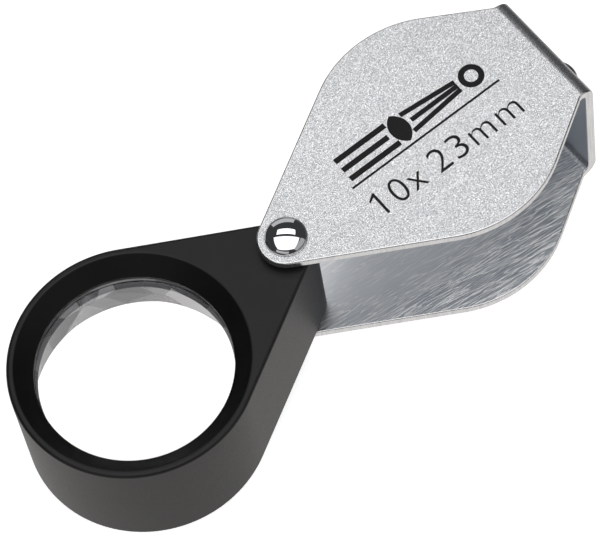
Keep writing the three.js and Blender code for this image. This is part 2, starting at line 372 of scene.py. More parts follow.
def black_anodised(name, base, roughness, gloss):
    """Matte black skin on blasted aluminium."""
    material, tree, shader, coords = new_material(name)
    grain = noise(tree, coords, 6500, 2.0, 0.6)
    cloud = noise(tree, coords, 120, 3.0)
    lighter = tuple(channel * 1.5 for channel in base)
    color = blend_colors(tree, from_noise(tree, cloud, 0.0, 1.0), base, lighter)
    tree.links.new(color, shader.inputs["Base Color"])
    dulled = from_noise(tree, grain, roughness - 0.05, roughness + 0.05)
    tree.links.new(dulled, shader.inputs["Roughness"])
    shader.inputs["Specular IOR Level"].default_value = gloss
    bump(tree, shader, grain, 0.25, 0.00002)
    return material


def turned_aluminium():
    """Bare spacer ring with fine turning lines round it, and lighter and darker patches that are painted
    highlights and shade, as of facets catching the light.
    """
    material, tree, shader, coords = new_material("turned_aluminium")
    shader.inputs["Metallic"].default_value = 0.65
    lines = noise(tree, mapped(tree, coords, (60, 60, 6200)), 1.0, 2.0)
    # The patches' red value paints highlights and shade as of facets catching the light; their green value
    # sets the roughness.
    painted_facet_patches = patches(tree, mapped(tree, coords, (1, 1, 0.8), 3.0), 190)
    tone = combine(tree, "ADD", combine(tree, "MULTIPLY", lines, 0.35), painted_facet_patches["Red"])
    shade = remap(tree, tone, 0.35, 1.1, 0.0, 1.0)
    color = blend_colors(tree, shade, (0.035, 0.033, 0.039), (0.36, 0.352, 0.365))
    tree.links.new(color, shader.inputs["Base Color"])
    tree.links.new(remap(tree, painted_facet_patches["Green"], 0.0, 1.0, 0.22, 0.42), shader.inputs["Roughness"])
    bump(tree, shader, lines, 0.12, 0.00002)
    return material


def ground_glass():
    """Rim of a lens, left frosted by fine grinding, with a fine grain and lighter and darker patches that
    are painted highlights and shade, as of facets catching the light.
    """
    material, tree, shader, coords = new_material("ground_glass_rim")
    grain = noise(tree, coords, 4200, 2.0)
    # Lighter and darker patches: painted highlights and shade. The grain above is the rim's real texture.
    painted_rim_facets = patches(tree, mapped(tree, coords, (1, 1, 0.6), 1.1), 210)
    tone = combine(tree, "ADD", combine(tree, "MULTIPLY", grain, 0.25), painted_rim_facets["Green"])
    shade = remap(tree, tone, 0.2, 1.1, 0.0, 1.0)
    color = blend_colors(tree, shade, (0.22, 0.215, 0.225), (0.85, 0.85, 0.86))
    tree.links.new(color, shader.inputs["Base Color"])
    shader.inputs["Roughness"].default_value = 0.7
    bump(tree, shader, grain, 0.2, 0.00002)
    return material


def lens_glass():
    """Clear polished glass that lets the light through to what lies under it. It bends light less
    than real glass, so that the ring's inner wall shows as deep as it should."""
    material, tree, shader, _ = new_material("lens_glass")
    shader.inputs["Base Color"].default_value = (0.985, 0.99, 0.99, 1)
    shader.inputs["Roughness"].default_value = 0.0
    shader.inputs["IOR"].default_value = 1.40
    shader.inputs["Transmission Weight"].default_value = 1.0
    clear = node(tree, "ShaderNodeBsdfTransparent")
    clear.inputs["Color"].default_value = (0.96, 0.97, 0.97, 1)
    surface = tree.nodes["Material Output"].inputs["Surface"]
    choose_by_ray(tree, "Is Shadow Ray", shader.outputs["BSDF"], clear.outputs["BSDF"], surface)
    return material


def polished_steel():
    """Mirror-polished rivet heads and wire, with hairline handling marks."""
    material, tree, shader, coords = new_material("polished_steel")
    shader.inputs["Metallic"].default_value = 1.0
    shader.inputs["Base Color"].default_value = (0.86, 0.86, 0.87, 1)
    hairs = noise(tree, mapped(tree, coords, (500, 9000, 500), 0.7), 1.0, 2.0)
    smudge = noise(tree, coords, 700, 2.0)
    marks = combine(tree, "MULTIPLY", remap(tree, hairs, 0.6, 0.75, 0.0, 1.0), smudge)
    tree.links.new(remap(tree, marks, 0.0, 0.6, 0.035, 0.14), shader.inputs["Roughness"])
    bump(tree, shader, hairs, 0.02, 0.00001)
    return material


def spring_steel():
    """Cold-rolled strip with faint rolling marks."""
    material, tree, shader, coords = new_material("spring_steel")
    shader.inputs["Metallic"].default_value = 1.0
    rolled = noise(tree, mapped(tree, coords, (400, 5000, 400)), 1.0, 2.0)
    color = blend_colors(tree, rolled, (0.30, 0.30, 0.32), (0.55, 0.55, 0.57))
    tree.links.new(color, shader.inputs["Base Color"])
    shader.inputs["Roughness"].default_value = 0.3
    bump(tree, shader, rolled, 0.1, 0.00001)
    return material


def nylon():
    """Slightly mottled off-white plastic."""
    material, tree, shader, coords = new_material("nylon")
    mottled = noise(tree, coords, 1500, 3.0)
    color = blend_colors(tree, mottled, (0.70, 0.69, 0.64), (0.82, 0.81, 0.77))
    tree.links.new(color, shader.inputs["Base Color"])
    shader.inputs["Roughness"].default_value = 0.5
    bump(tree, shader, mottled, 0.1, 0.00002)
    return material


def printed_ink():
    """Thin black screen print, a little uneven where it lies on the blasted metal."""
    material, tree, shader, coords = new_material("printed_ink")
    mottled = noise(tree, coords, 5200, 2.0)
    color = blend_colors(tree, mottled, (0.006, 0.006, 0.007), (0.022, 0.021, 0.022))
    tree.links.new(color, shader.inputs["Base Color"])
    shader.inputs["Roughness"].default_value = 0.55
    shader.inputs["Specular IOR Level"].default_value = 0.2
    bump(tree, shader, mottled, 0.2, 0.00001)
    return material


SATIN = satin_steel()
BRUSHED = brushed_steel()
CUT_EDGE = sheared_edge()
ANODISED = black_anodised("black_anodised", (0.0080, 0.0077, 0.0076), 0.40, 0.32)
# A rougher copy of the black for the recess inside the ring; its darker colour is painted shade.
RECESS_BLACK_SHADED = black_anodised("recess_black_painted_shade", (0.0035, 0.0034, 0.0035), 0.46, 0.20)
GLASS = lens_glass()
GROUND = ground_glass()
TURNED = turned_aluminium()
POLISHED = polished_steel()
SPRING = spring_steel()
NYLON = nylon()
INK = printed_ink()


# ---- Mesh helpers ---------------------------------------------------------------------------------

def filleted(corners, steps, closed=True):
    """Points of a polygon whose corners are (x, y, radius), each corner rounded to its radius."""
    points = []
    count = len(corners)
    for i, (x, y, radius) in enumerate(corners):
        corner = Vector((x, y))
        if radius == 0 or (not closed and i in (0, count - 1)):
            points.append(corner)
            continue
        before = (Vector(corners[i - 1][:2]) - corner).normalized()
        after = (Vector(corners[(i + 1) % count][:2]) - corner).normalized()
        half = before.angle(after) / 2
        centre = corner + (before + after).normalized() * radius / math.sin(half)
        start = corner + before * radius / math.tan(half) - centre
        end = corner + after * radius / math.tan(half) - centre
        sweep = math.atan2(start.x * end.y - start.y * end.x, start.dot(end))
        for step in range(steps + 1):
            points.append(centre + Matrix.Rotation(sweep * step / steps, 2) @ start)
    return points


def arc(centre, radius, start, end, steps):
    """Points on an arc, both ends included."""
    points = []
    for step in range(steps + 1):
        angle = start + (end - start) * step / steps
        points.append(Vector((centre[0] + radius * math.cos(angle), centre[1] + radius * math.sin(angle))))
    return points


def skin(bm, rings, closed=False):
    """Joins rings of vertices, each counterclockwise seen from above, with the material on the left
    of the way from ring to ring. A ring of one vertex is a pole. Returns the bands of faces."""
    bands = []
    following = rings[1:] + (rings[:1] if closed else [])
    for low, high in zip(rings, following):
        band = []
        count = max(len(low), len(high))
        for i in range(count):
            j = (i + 1) % count
            if len(low) == 1:
                corners = (low[0], high[j], high[i])
            elif len(high) == 1:
                corners = (low[i], low[j], high[0])
            else:
                corners = (low[i], low[j], high[j], high[i])
            band.append(bm.faces.new(corners))
        bands.append(band)
    return bands


def turn_profile(bm, profile, centre=Vector((0, 0, 0)), closed=False, count=ROUND):
    """Turns (radius, height) points about the vertical line through centre."""
    rings = []
    for radius, height in profile:
        if radius == 0:
            rings.append([bm.verts.new((centre.x, centre.y, height))])
            continue
        ring = []
        for i in range(count):
            angle = math.tau * i / count
            ring.append(bm.verts.new((
                centre.x + radius * math.cos(angle), centre.y + radius * math.sin(angle), height)))
        rings.append(ring)
    return skin(bm, rings, closed)


def to_object(name, bm, materials, sharp=SHARP):
    """Makes an object in metres from a bmesh in millimetres."""
    bmesh.ops.scale(bm, vec=(MM, MM, MM), verts=bm.verts)
    mesh = bpy.data.meshes.new(name)
    for face in bm.faces:
        face.smooth = True
    bm.to_mesh(mesh)
    bm.free()
    mesh.set_sharp_from_angle(angle=sharp)
    for material in materials:
        mesh.materials.append(material)
    made = bpy.data.objects.new(name, mesh)
    bpy.context.scene.collection.objects.link(made)
    return made


def even_shading(piece):
    """Keeps broad flat faces flat where they meet a narrow rounded edge."""
    weighted = piece.modifiers.new("even_shading", "WEIGHTED_NORMAL")
    weighted.keep_sharp = True


def bake_modifiers(piece):
    """Replaces the mesh by what its modifiers make of it."""
    graph = bpy.context.evaluated_depsgraph_get()
    made = bpy.data.meshes.new_from_object(piece.evaluated_get(graph))
    piece.modifiers.clear()
    old = piece.data
    piece.data = made
    bpy.data.meshes.remove(old)


def drill(piece, cutters):
    """Cuts the cutters out of the piece, removes them, and clears slivers that the cuts leave."""
    for cutter in cutters:
        cut = piece.modifiers.new("drill", "BOOLEAN")
        cut.operation = "DIFFERENCE"
        cut.solver = "EXACT"
        cut.object = cutter
    bake_modifiers(piece)
    for cutter in cutters:
        bpy.data.objects.remove(cutter)
    bm = bmesh.new()
    bm.from_mesh(piece.data)
    bmesh.ops.remove_doubles(bm, verts=bm.verts, dist=WELD)
    bmesh.ops.dissolve_degenerate(bm, edges=bm.edges, dist=WELD)
    bm.to_mesh(piece.data)
    bm.free()
    piece.data.set_sharp_from_angle(angle=SHARP)


def rivet_cutter(name, radius, bottom, top, material):
    """Cylinder at the rivet that sticks out of what it cuts."""
    low, high = bottom - OVERSHOOT, top + OVERSHOOT
    bm = bmesh.new()
    turn_profile(bm, [(0, low), (radius, low), (radius, high), (0, high)], PIVOT, count=SMALL_ROUND)
    return to_object(name, bm, [material])


def place(piece, body, slot, *nodes):
    """Hangs the piece under its body's empty and hides the CAD nodes that it stands for. The slot, its
    finish, is not used.
    """
    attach(piece, body)
    if nodes:
        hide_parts(*nodes)


# ---- Cover ----------------------------------------------------------------------------------------

WALL_START = PLATE_LENGTH + BEND_ARC
WALL_END = WALL_START + WALL_FLAT
BACK_START = WALL_END + BEND_ARC
BACK_PIVOT = BACK_START + PLATE_LENGTH


def fold(along, across, out):
    """Where a point of the flat strip ends up once the cover is bent. along runs from the front
    plate's rivet over the end wall to the back plate's rivet; out is towards the cover's outside."""
    middle = BEND_MIDDLE + out
    if along <= PLATE_LENGTH:
        x, z = along, cover_high.z - SHEET / 2 + out
    elif along <= WALL_START:
        angle = (along - PLATE_LENGTH) / BEND_MIDDLE
        x = PLATE_LENGTH + middle * math.sin(angle)
        z = cover_high.z - BEND_OUTER + middle * math.cos(angle)
    elif along <= WALL_END:
        x = END_WALL_FROM_PIVOT - SHEET / 2 + out
        z = cover_high.z - BEND_OUTER - (along - WALL_START)
    elif along <= BACK_START:
        angle = (along - WALL_END) / BEND_MIDDLE
        x = PLATE_LENGTH + middle * math.cos(angle)
        z = cover_low.z + BEND_OUTER - middle * math.sin(angle)
    else:
        x, z = PLATE_LENGTH - (along - BACK_START), cover_low.z + SHEET / 2 - out
    return Vector((PIVOT.x + x, across, z))


def strip_outline():
    """Outline of the unbent strip, counterclockwise: two teardrop plates joined by the end wall."""
    flank = math.acos((TIP_RADIUS - SHOULDER_RADIUS) / SHOULDER_FROM_PIVOT)
    corner = Vector((PLATE_LENGTH - SHOULDER_FROM_PIVOT, END_WALL_HALF_WIDTH))
    side = math.atan2(corner.y, corner.x) + math.acos(SHOULDER_RADIUS / corner.length)
    front = arc((0, 0), TIP_RADIUS, math.pi, math.tau - flank, steps=16)
    front += arc((SHOULDER_FROM_PIVOT, 0), SHOULDER_RADIUS, -flank, -side, steps=40)
    # The side runs on into the end wall round a small hollow corner.
    start = front[-1]
    corner_points = filleted([
        (start.x, start.y, 0),
        (PLATE_LENGTH, -END_WALL_HALF_WIDTH, HOLLOW_CORNER),
        (WALL_START, -END_WALL_HALF_WIDTH, 0),
    ], closed=False, steps=6)
    front += corner_points[1:-1]
    back = [Vector((BACK_PIVOT - point.x, point.y)) for point in reversed(front)]
    lower = front + back
    upper = [Vector((point.x, -point.y)) for point in reversed(lower)]
    return lower + upper[1:-1]


def offset_inward(points, distance):
    """A closed counterclockwise outline moved in by a distance, with mitred corners."""
    moved = []
    count = len(points)
    for i, point in enumerate(points):
        before = (point - points[i - 1]).normalized()
        after = (points[(i + 1) % count] - point).normalized()
        normal = Vector((-before.y - after.y, before.x + after.x)).normalized()
        stretch = normal.dot(Vector((-before.y, before.x)))
        moved.append(point + normal * distance / stretch)
    return moved


def edge_profile(half_height, radius, steps=4):
    """(inset, height) pairs that take an edge from the lower face round to the upper face."""
    pairs = []
    for step in range(steps + 1):
        angle = math.pi / 2 * step / steps
        pairs.append((radius * (1 - math.sin(angle)), -half_height + radius * (1 - math.cos(angle))))
    return pairs + [(inset, -height) for inset, height in reversed(pairs)]


def wire_hole_cutter(side):
    """Cylinder through the end wall on one side, flared at the wall's outer face."""
    bm = bmesh.new()
    wall = cover_high.x
    start = wall - SHEET - OVERSHOOT
    turn_profile(bm, [
        (0, start),
        (WIRE_HOLE, start),
        (WIRE_HOLE, wall - WIRE_HOLE_FLARE),
        (WIRE_HOLE + WIRE_HOLE_FLARE + OVERSHOOT, wall + OVERSHOOT),
        (0, wall + OVERSHOOT),
    ], count=SMALL_ROUND // 2)
    middle = (cover_low.z + cover_high.z) / 2
    bmesh.ops.transform(bm, matrix=Matrix.Rotation(math.pi / 2, 4, "Y"), verts=bm.verts)
    bmesh.ops.translate(bm, vec=(0, side * LOOP_HALF_WIDTH, middle), verts=bm.verts)
    return to_object("wire_hole", bm, [CUT_EDGE])


def make_cover():
    """The strip is built flat with rounded edges, cut across at the bends, folded and drilled."""
    bm = bmesh.new()
    outline = strip_outline()
    rings = []
    for inset, height in edge_profile(SHEET / 2, COVER_EDGE):
        loop = offset_inward(outline, inset)
        rings.append([bm.verts.new((point.x, point.y, height)) for point in loop])
    for band in skin(bm, rings):
        for face in band:
            face.material_index = 2
    inner = bm.faces.new(list(reversed(rings[0])))
    outer = bm.faces.new(rings[-1])
    inner.material_index = 1
    outer.material_index = 0
    for start in (PLATE_LENGTH, WALL_END):
        for step in range(BEND_STEPS + 1):
            station = start + BEND_ARC * step / BEND_STEPS
            bmesh.ops.bisect_plane(
                bm, geom=bm.verts[:] + bm.edges[:] + bm.faces[:],
                plane_co=(station, 0, 0), plane_no=(1, 0, 0), dist=SAME_POINT)
    for vert in bm.verts:
        vert.co = fold(vert.co.x, vert.co.y, vert.co.z)
    cover = to_object("cover_shell", bm, [SATIN, BRUSHED, CUT_EDGE])
    rivet_hole = rivet_cutter("rivet_hole", PLATE_HOLE, cover_low.z, cover_high.z, CUT_EDGE)
    drill(cover, [rivet_hole, wire_hole_cutter(-1), wire_hole_cutter(1)])
    even_shading(cover)
    place(cover, "cover_body", "satin_cover", "cover")


# ---- Lens holder ----------------------------------------------------------------------------------

def holder_outline():
    """Ring with a tail that tapers to the rivet, counterclockwise."""
    flank = math.acos((RING_RADIUS - TAIL_RADIUS) / RING_FROM_PIVOT)
    steps = 36
    tail = arc((PIVOT.x, 0), TAIL_RADIUS, -flank, flank, steps=24)
    ring = arc((RING.x, 0), RING_RADIUS, flank, math.tau - flank, steps=132)
    outline = list(tail)
    outline += [tail[-1].lerp(ring[0], step / steps) for step in range(1, steps)]
    outline += ring
    outline += [ring[-1].lerp(tail[0], step / steps) for step in range(1, steps)]
    return outline


def make_holder():
    """Rounded outline outside, turned recess, bore and thread relief inside, and the pivot bore."""
    bm = bmesh.new()
    outline = holder_outline()
    bottom, top = holder_low.z, holder_high.z
    middle = (bottom + top) / 2
    rings = []
    for inset, height in edge_profile((top - bottom) / 2, HOLDER_EDGE, steps=7):
        loop = offset_inward(outline, inset)
        rings.append([bm.verts.new((point.x, point.y, middle + height)) for point in loop])
    rim = RING_RADIUS - HOLDER_EDGE
    turned = filleted([
        (rim, top, 0),
        (RECESS_RADIUS, top, RECESS_EDGE),
        (CLEAR_RADIUS, top - RECESS_DEPTH, BROKEN_EDGE),
        (CLEAR_RADIUS, LIP_BOTTOM, CRISP_EDGE),
        (BORE_RADIUS, LIP_BOTTOM, 0),
        (BORE_RADIUS, THREAD_TOP, 0),
        (THREAD_RADIUS, THREAD_TOP, 0),
        (THREAD_RADIUS, bottom + MOUTH_CHAMFER, BROKEN_EDGE),
        (THREAD_RADIUS + MOUTH_CHAMFER, bottom, BROKEN_EDGE),
        (rim, bottom, 0),
    ], closed=False, steps=6)[1:-1]
    directions = [Vector((point.x - RING.x, point.y)).normalized() for point in outline]
    for radius, height in turned:
        rings.append([bm.verts.new((RING.x + radius * d.x, radius * d.y, height)) for d in directions])
    # Faces of the recess and bore above the lip take the darker copy of the black, as painted shade.
    for band in skin(bm, rings, closed=True):
        for face in band:
            reach = max((vert.co.xy - RING.xy).length for vert in face.verts)
            inside = reach < RECESS_RADIUS + MARGIN and face.calc_center_median().z > LIP_BOTTOM
            face.material_index = 1 if inside else 0
    holder = to_object("lens_holder_body", bm, [ANODISED, RECESS_BLACK_SHADED])
    drill(holder, [rivet_cutter("pivot_bore", PIVOT_BORE, bottom, top, ANODISED)])
    even_shading(holder)
    place(holder, "holder_body", "black_anodised", "lens_holder")


# ---- Glass, spacer and retaining ring -------------------------------------------------------------

def sag(radius):
    """How far a lens surface has fallen away at a radius from its vertex."""
    return LENS_CURVE - math.sqrt(LENS_CURVE ** 2 - radius ** 2)


def make_lens(name, flat_z, direction, node_name):
    """Plano-convex lens with its flat face at flat_z and its curve towards direction, +1 or -1."""
    steps = 20
    profile = []
    for step in range(steps + 1):
        radius = LENS_RADIUS * step / steps
        profile.append((radius, LENS_EDGE + sag(LENS_RADIUS) - sag(radius)))
    profile += [(LENS_RADIUS, LENS_BEVEL), (LENS_RADIUS - LENS_BEVEL, 0), (0, 0)]
    placed = [(radius, flat_z + direction * height) for radius, height in profile]
    if direction > 0:
        placed.reverse()
    bm = bmesh.new()
    for band in turn_profile(bm, placed, RING):
        for face in band:
            nearest = min((vert.co.xy - RING.xy).length for vert in face.verts)
            face.material_index = 1 if nearest > LENS_RADIUS - LENS_BEVEL - MARGIN else 0
    lens = to_object(name, bm, [GLASS, GROUND], LENS_SHARP)
    place(lens, "holder_body", "lens_glass", node_name)


def make_spacer():
    """Ring between the glasses, with both ends cut to their curves."""
    fall = sag(LENS_RADIUS) - sag(SPACER_INNER)
    bottom, top = spacer_low.z, spacer_high.z
    bm = bmesh.new()
    profile = filleted([
        (SPACER_INNER, bottom + fall, TURNED_EDGE),
        (LENS_RADIUS, bottom, TURNED_EDGE),
        (LENS_RADIUS, top, TURNED_EDGE),
        (SPACER_INNER, top - fall, TURNED_EDGE),
    ], steps=3)
    turn_profile(bm, profile, RING, closed=True)
    spacer = to_object("lens_spacer_ring", bm, [TURNED])
    even_shading(spacer)
    place(spacer, "holder_body", "bare_aluminium", "lens_spacer")


def notch_cutter():
    """Square bar across the retaining ring's underside, which cuts its two spanner notches."""
    bm = bmesh.new()
    bmesh.ops.create_cube(bm, size=1.0)
    bmesh.ops.scale(bm, vec=(NOTCH_WIDTH, 2 * RING_RADIUS, NOTCH_WIDTH), verts=bm.verts)
    bmesh.ops.translate(bm, vec=(RING.x, 0, retainer_low.z), verts=bm.verts)
    return to_object("notch", bm, [ANODISED])


def make_retainer():
    """Threaded ring that widens downwards, with two spanner notches."""
    bottom, top = retainer_low.z, retainer_high.z
    outer = retainer_high.y
    bm = bmesh.new()
    profile = filleted([
        (RETAINER_MOUTH, bottom, TURNED_EDGE),
        (outer, bottom, TURNED_EDGE),
        (outer, top, TURNED_EDGE),
        (CLEAR_RADIUS, top, CRISP_EDGE),
        (CLEAR_RADIUS, top - RETAINER_LAND, BROKEN_EDGE),
    ], steps=3)
    turn_profile(bm, profile, RING, closed=True)
    ring = to_object("retaining_ring_body", bm, [ANODISED])
    drill(ring, [notch_cutter()])
    even_shading(ring)
    place(ring, "holder_body", "black_anodised", "retaining_ring")


# ---- Rivet and washers ----------------------------------------------------------------------------

def dome():
    """(radius, height) points of a low elliptical dome from its rim to its crown."""
    steps = 30
    rise = HEAD_HEIGHT - HEAD_RIM
    points = [(HEAD_RADIUS - HEAD_FOOT_INSET, 0), (HEAD_RADIUS, HEAD_FOOT_HEIGHT)]
    for step in range(steps):
        angle = math.pi / 2 * step / steps
        points.append((HEAD_RADIUS * math.cos(angle), HEAD_RIM + rise * math.sin(angle)))
    return points + [(0, HEAD_HEIGHT)]


def make_rivet_post():
    """Upper head with a shank that is bored from below."""
    seat = post_high.z - HEAD_HEIGHT
    end = post_low.z
    bore_top = end + PIN_BORE_DEPTH
    bore = [(0, bore_top), (PIN_BORE, bore_top), (PIN_BORE, end)]
    shank = [(SHANK_RADIUS, end), (SHANK_RADIUS, seat)]
    head = [(radius, seat + height) for radius, height in dome()]
    bm = bmesh.new()
    turn_profile(bm, bore + shank + head, PIVOT, count=SMALL_ROUND)
    post = to_object("rivet_post_body", bm, [POLISHED])
    place(post, "cover_body", "polished_steel", "rivet_post")


def make_rivet_cap():
    """Lower head with the pin that goes up into the post."""
    seat = cap_low.z + HEAD_HEIGHT
    head = [(radius, seat - height) for radius, height in reversed(dome())]
    pin = [(PIN_RADIUS, seat), (PIN_RADIUS, cap_high.z), (0, cap_high.z)]
    bm = bmesh.new()
    turn_profile(bm, head + pin, PIVOT, count=SMALL_ROUND)
    cap = to_object("rivet_cap_body", bm, [POLISHED])
    place(cap, "cover_body", "polished_steel", "rivet_cap")


def washer_section(outer, bottom, top, radius):
    """Cross-section of a washer, with its corners rounded to a radius."""
    corners = ((WASHER_HOLE, bottom), (outer, bottom), (outer, top), (WASHER_HOLE, top))
    return filleted([(x, y, radius) for x, y in corners], steps=3)


def make_upper_washer():
    """Flat washer under the front plate."""
    bm = bmesh.new()
    section = washer_section(washer_high.y, washer_low.z, washer_high.z, TURNED_EDGE)
    turn_profile(bm, section, PIVOT, closed=True, count=SMALL_ROUND)
    washer = to_object("upper_washer_ring", bm, [NYLON])
    place(washer, "cover_body", "nylon", "upper_washer")


def make_wave_washer():
    """Spring washer on the back plate, with three waves round it."""
    wave = (wave_high.z - wave_low.z - WAVE_THICKNESS) / 2
    middle = (wave_low.z + wave_high.z) / 2
    half = WAVE_THICKNESS / 2
    bm = bmesh.new()
    section = washer_section(wave_high.y, middle - half, middle + half, WAVE_EDGE)
    turn_profile(bm, section, PIVOT, closed=True, count=SMALL_ROUND)
    for vert in bm.verts:
        angle = math.atan2(vert.co.y, vert.co.x - PIVOT.x)
        vert.co.z += wave * math.cos(3 * angle)
    washer = to_object("wave_washer_ring", bm, [SPRING])
    place(washer, "cover_body", "spring_steel", "wave_washer")


# ---- Lanyard loop ---------------------------------------------------------------------------------

def wire_ring(bm, centre, side, radius):
    """One ring of vertices round the wire, whose level direction across is side."""
    ring = []
    for k in range(WIRE_ROUND):
        angle = math.tau * k / WIRE_ROUND
        out = side * radius * math.cos(angle)
        ring.append(bm.verts.new((
            centre.x + out.x, centre.y + out.y, LOOP_MIDDLE - radius * math.sin(angle))))
    return ring


def peened_head(bm, end):
    """Rings of the low head that one end of the wire spreads into behind the wall."""
    side = Vector((0, math.copysign(1, end.y)))
    rings = []
    for width, rise in PEEN_SHAPE:
        centre = Vector((end.x - rise * PEEN_HEIGHT, end.y))
        rings.append(wire_ring(bm, centre, side, width * PEEN_RADIUS))
    return rings + [[bm.verts.new((end.x - PEEN_HEIGHT, end.y, LOOP_MIDDLE))]]


def make_loop():
    """Round wire out of the end wall, round a half circle and back in, with peened ends."""
    bow_x = loop_high.x - WIRE_RADIUS - LOOP_HALF_WIDTH
    end_x = cover_high.x - SHEET - PEEN_GAP
    bow = arc((bow_x, 0), LOOP_HALF_WIDTH, -math.pi / 2, math.pi / 2, steps=40)
    path = [Vector((end_x, -LOOP_HALF_WIDTH))] + bow + [Vector((end_x, LOOP_HALF_WIDTH))]
    bm = bmesh.new()
    rings = []
    for i, point in enumerate(path):
        before = path[max(i - 1, 0)]
        after = path[min(i + 1, len(path) - 1)]
        run = (after - before).normalized()
        rings.append(wire_ring(bm, point, Vector((run.y, -run.x)), WIRE_RADIUS))
    first = peened_head(bm, path[0])
    last = peened_head(bm, path[-1])
    skin(bm, first[::-1] + rings + last)
    bmesh.ops.recalc_face_normals(bm, faces=bm.faces)
    loop = to_object("lanyard_wire", bm, [POLISHED])
    place(loop, "cover_body", "polished_steel", "lanyard_loop")


# ---- Printing on the front plate ------------------------------------------------------------------

INK_HEIGHT = 0.012
INK_GAP = 0.001
INK_BASE = cover_high.z + INK_GAP


def raise_outline(bm, outline):
    """A thin flat piece of ink with this counterclockwise outline."""
    low = [bm.verts.new((point.x, point.y, INK_BASE)) for point in outline]
    high = [bm.verts.new((point.x, point.y, INK_BASE + INK_HEIGHT)) for point in outline]
    skin(bm, [low, high])
    bm.faces.new(high)
    bm.faces.new(list(reversed(low)))


def raise_ring(bm, outer, inner):
    """A thin flat band of ink between two outlines that have the same number of points."""
    rings = []
    for outline, height in ((outer, 0), (outer, INK_HEIGHT), (inner, INK_HEIGHT), (inner, 0)):
        rings.append([bm.verts.new((point.x, point.y, INK_BASE + height)) for point in outline])
    skin(bm, rings, closed=True)


def bar(start, end, width):
    """Outline of a straight stroke."""
    start, end = Vector(start), Vector(end)
    run = (end - start).normalized()
    side = Vector((run.y, -run.x)) * width / 2
    return [start + side, end + side, end - side, start - side]


# Sizes of the symbol and the line under it. Lengths along it start at the rivet.
SYMBOL_MIDDLE = 2.5
LENS_FROM_PIVOT = 18.6
LENS_HALF_HEIGHT = 2.05
LENS_BULGE = 1.25
FOCUS_FROM_PIVOT = 29.2
FOCUS_RADIUS = 1.55
RAY_START = 10.2
RAY_HEIGHTS = (-1.45, 0.0, 1.45)
RAY_SHARE_AT_LENS = 0.92
RAY_SHARE_AT_FOCUS = 0.42
BOLD = 0.72
LESS_BOLD = 0.62
GAP = 0.45
RULE_START = 9.6
RULE_END = 31.3
RULE_HEIGHT = -0.05
RULE_WIDTH = 0.27


def lens_outline(centre, half_height, bulge):
    """Biconvex lens seen from its edge."""
    curve = (half_height ** 2 + bulge ** 2) / (2 * bulge)
    reach = math.asin(half_height / curve)
    right = arc((centre.x - curve + bulge, centre.y), curve, -reach, reach, steps=14)
    left = arc((centre.x + curve - bulge, centre.y), curve, math.pi - reach, math.pi + reach, steps=14)
    return right[:-1] + left[:-1]


def make_symbol():
    """Plain optical sketch: three rays go through a lens and meet at a ring, over a ruled line."""
    bm = bmesh.new()
    lens = Vector((PIVOT.x + LENS_FROM_PIVOT, SYMBOL_MIDDLE))
    raise_outline(bm, lens_outline(lens, LENS_HALF_HEIGHT, LENS_BULGE))
    focus = Vector((PIVOT.x + FOCUS_FROM_PIVOT, SYMBOL_MIDDLE))
    outer = arc(focus, FOCUS_RADIUS, 0, math.tau, steps=48)[:-1]
    inner = arc(focus, FOCUS_RADIUS - BOLD, 0, math.tau, steps=48)[:-1]
    raise_ring(bm, outer, inner)
    for rise in RAY_HEIGHTS:
        half_lens = LENS_BULGE * (1 - (rise / LENS_HALF_HEIGHT) ** 2)
        start = Vector((PIVOT.x + RAY_START, lens.y + rise))
        raise_outline(bm, bar(start, (lens.x - half_lens - GAP, start.y), BOLD))
        leave = Vector((lens.x + half_lens + GAP, lens.y + rise * RAY_SHARE_AT_LENS))
        stop = Vector((focus.x - FOCUS_RADIUS - GAP, lens.y + rise * RAY_SHARE_AT_FOCUS))
        raise_outline(bm, bar(leave, stop, LESS_BOLD))
    rule_start = (PIVOT.x + RULE_START, RULE_HEIGHT)
    rule_end = (PIVOT.x + RULE_END, RULE_HEIGHT)
    raise_outline(bm, bar(rule_start, rule_end, RULE_WIDTH))
    symbol = to_object("printed_symbol", bm, [INK])
    place(symbol, "cover_body", "printed_ink")


# Where each figure starts and ends, in millimetres from the rivet.
FIGURES = (
    ("0", 12.55, 14.5),
    ("x", 14.95, 16.9),
    ("2", 18.5, 20.5),
    ("3", 21.25, 23.1),
    ("m", 24.0, 27.0),
    ("m", 27.95, 31.0),
)
BASELINE = -5.2
FIGURE_HEIGHT = 3.15
THINNING = 0.012
# The figure one: its stem's middle and width, and its flag's corners, as distances left of the
# stem's middle and down from its top.
ONE_STEM = 10.9
FINE = 0.34
FLAG = ((0.2 * FINE, 0), (0.95, 0.62), (0.85, 0.86), (0.5 * FINE, 0.45))


def glyph(character):
    """Mesh of one character of the built-in font, slightly thinned. Its depth is only there to tell
    its upper face from its lower face."""
    curve = bpy.data.curves.new("figure", "FONT")
    curve.body = character
    curve.extrude = 0.01
    curve.resolution_u = 8
    curve.offset = -THINNING
    source = bpy.data.objects.new("figure", curve)
    bpy.context.scene.collection.objects.link(source)
    graph = bpy.context.evaluated_depsgraph_get()
    mesh = bpy.data.meshes.new_from_object(source.evaluated_get(graph))
    bpy.data.objects.remove(source)
    return mesh


def raise_one(bm):
    """The figure one, as an outline of its own: a stem with a short flag."""
    stem, top = PIVOT.x + ONE_STEM, BASELINE + FIGURE_HEIGHT
    half = FINE / 2
    corners = [(stem - half, BASELINE), (stem + half, BASELINE), (stem + half, top)]
    corners += [(stem - left, top - down) for left, down in FLAG]
    raise_outline(bm, [Vector(corner) for corner in corners])


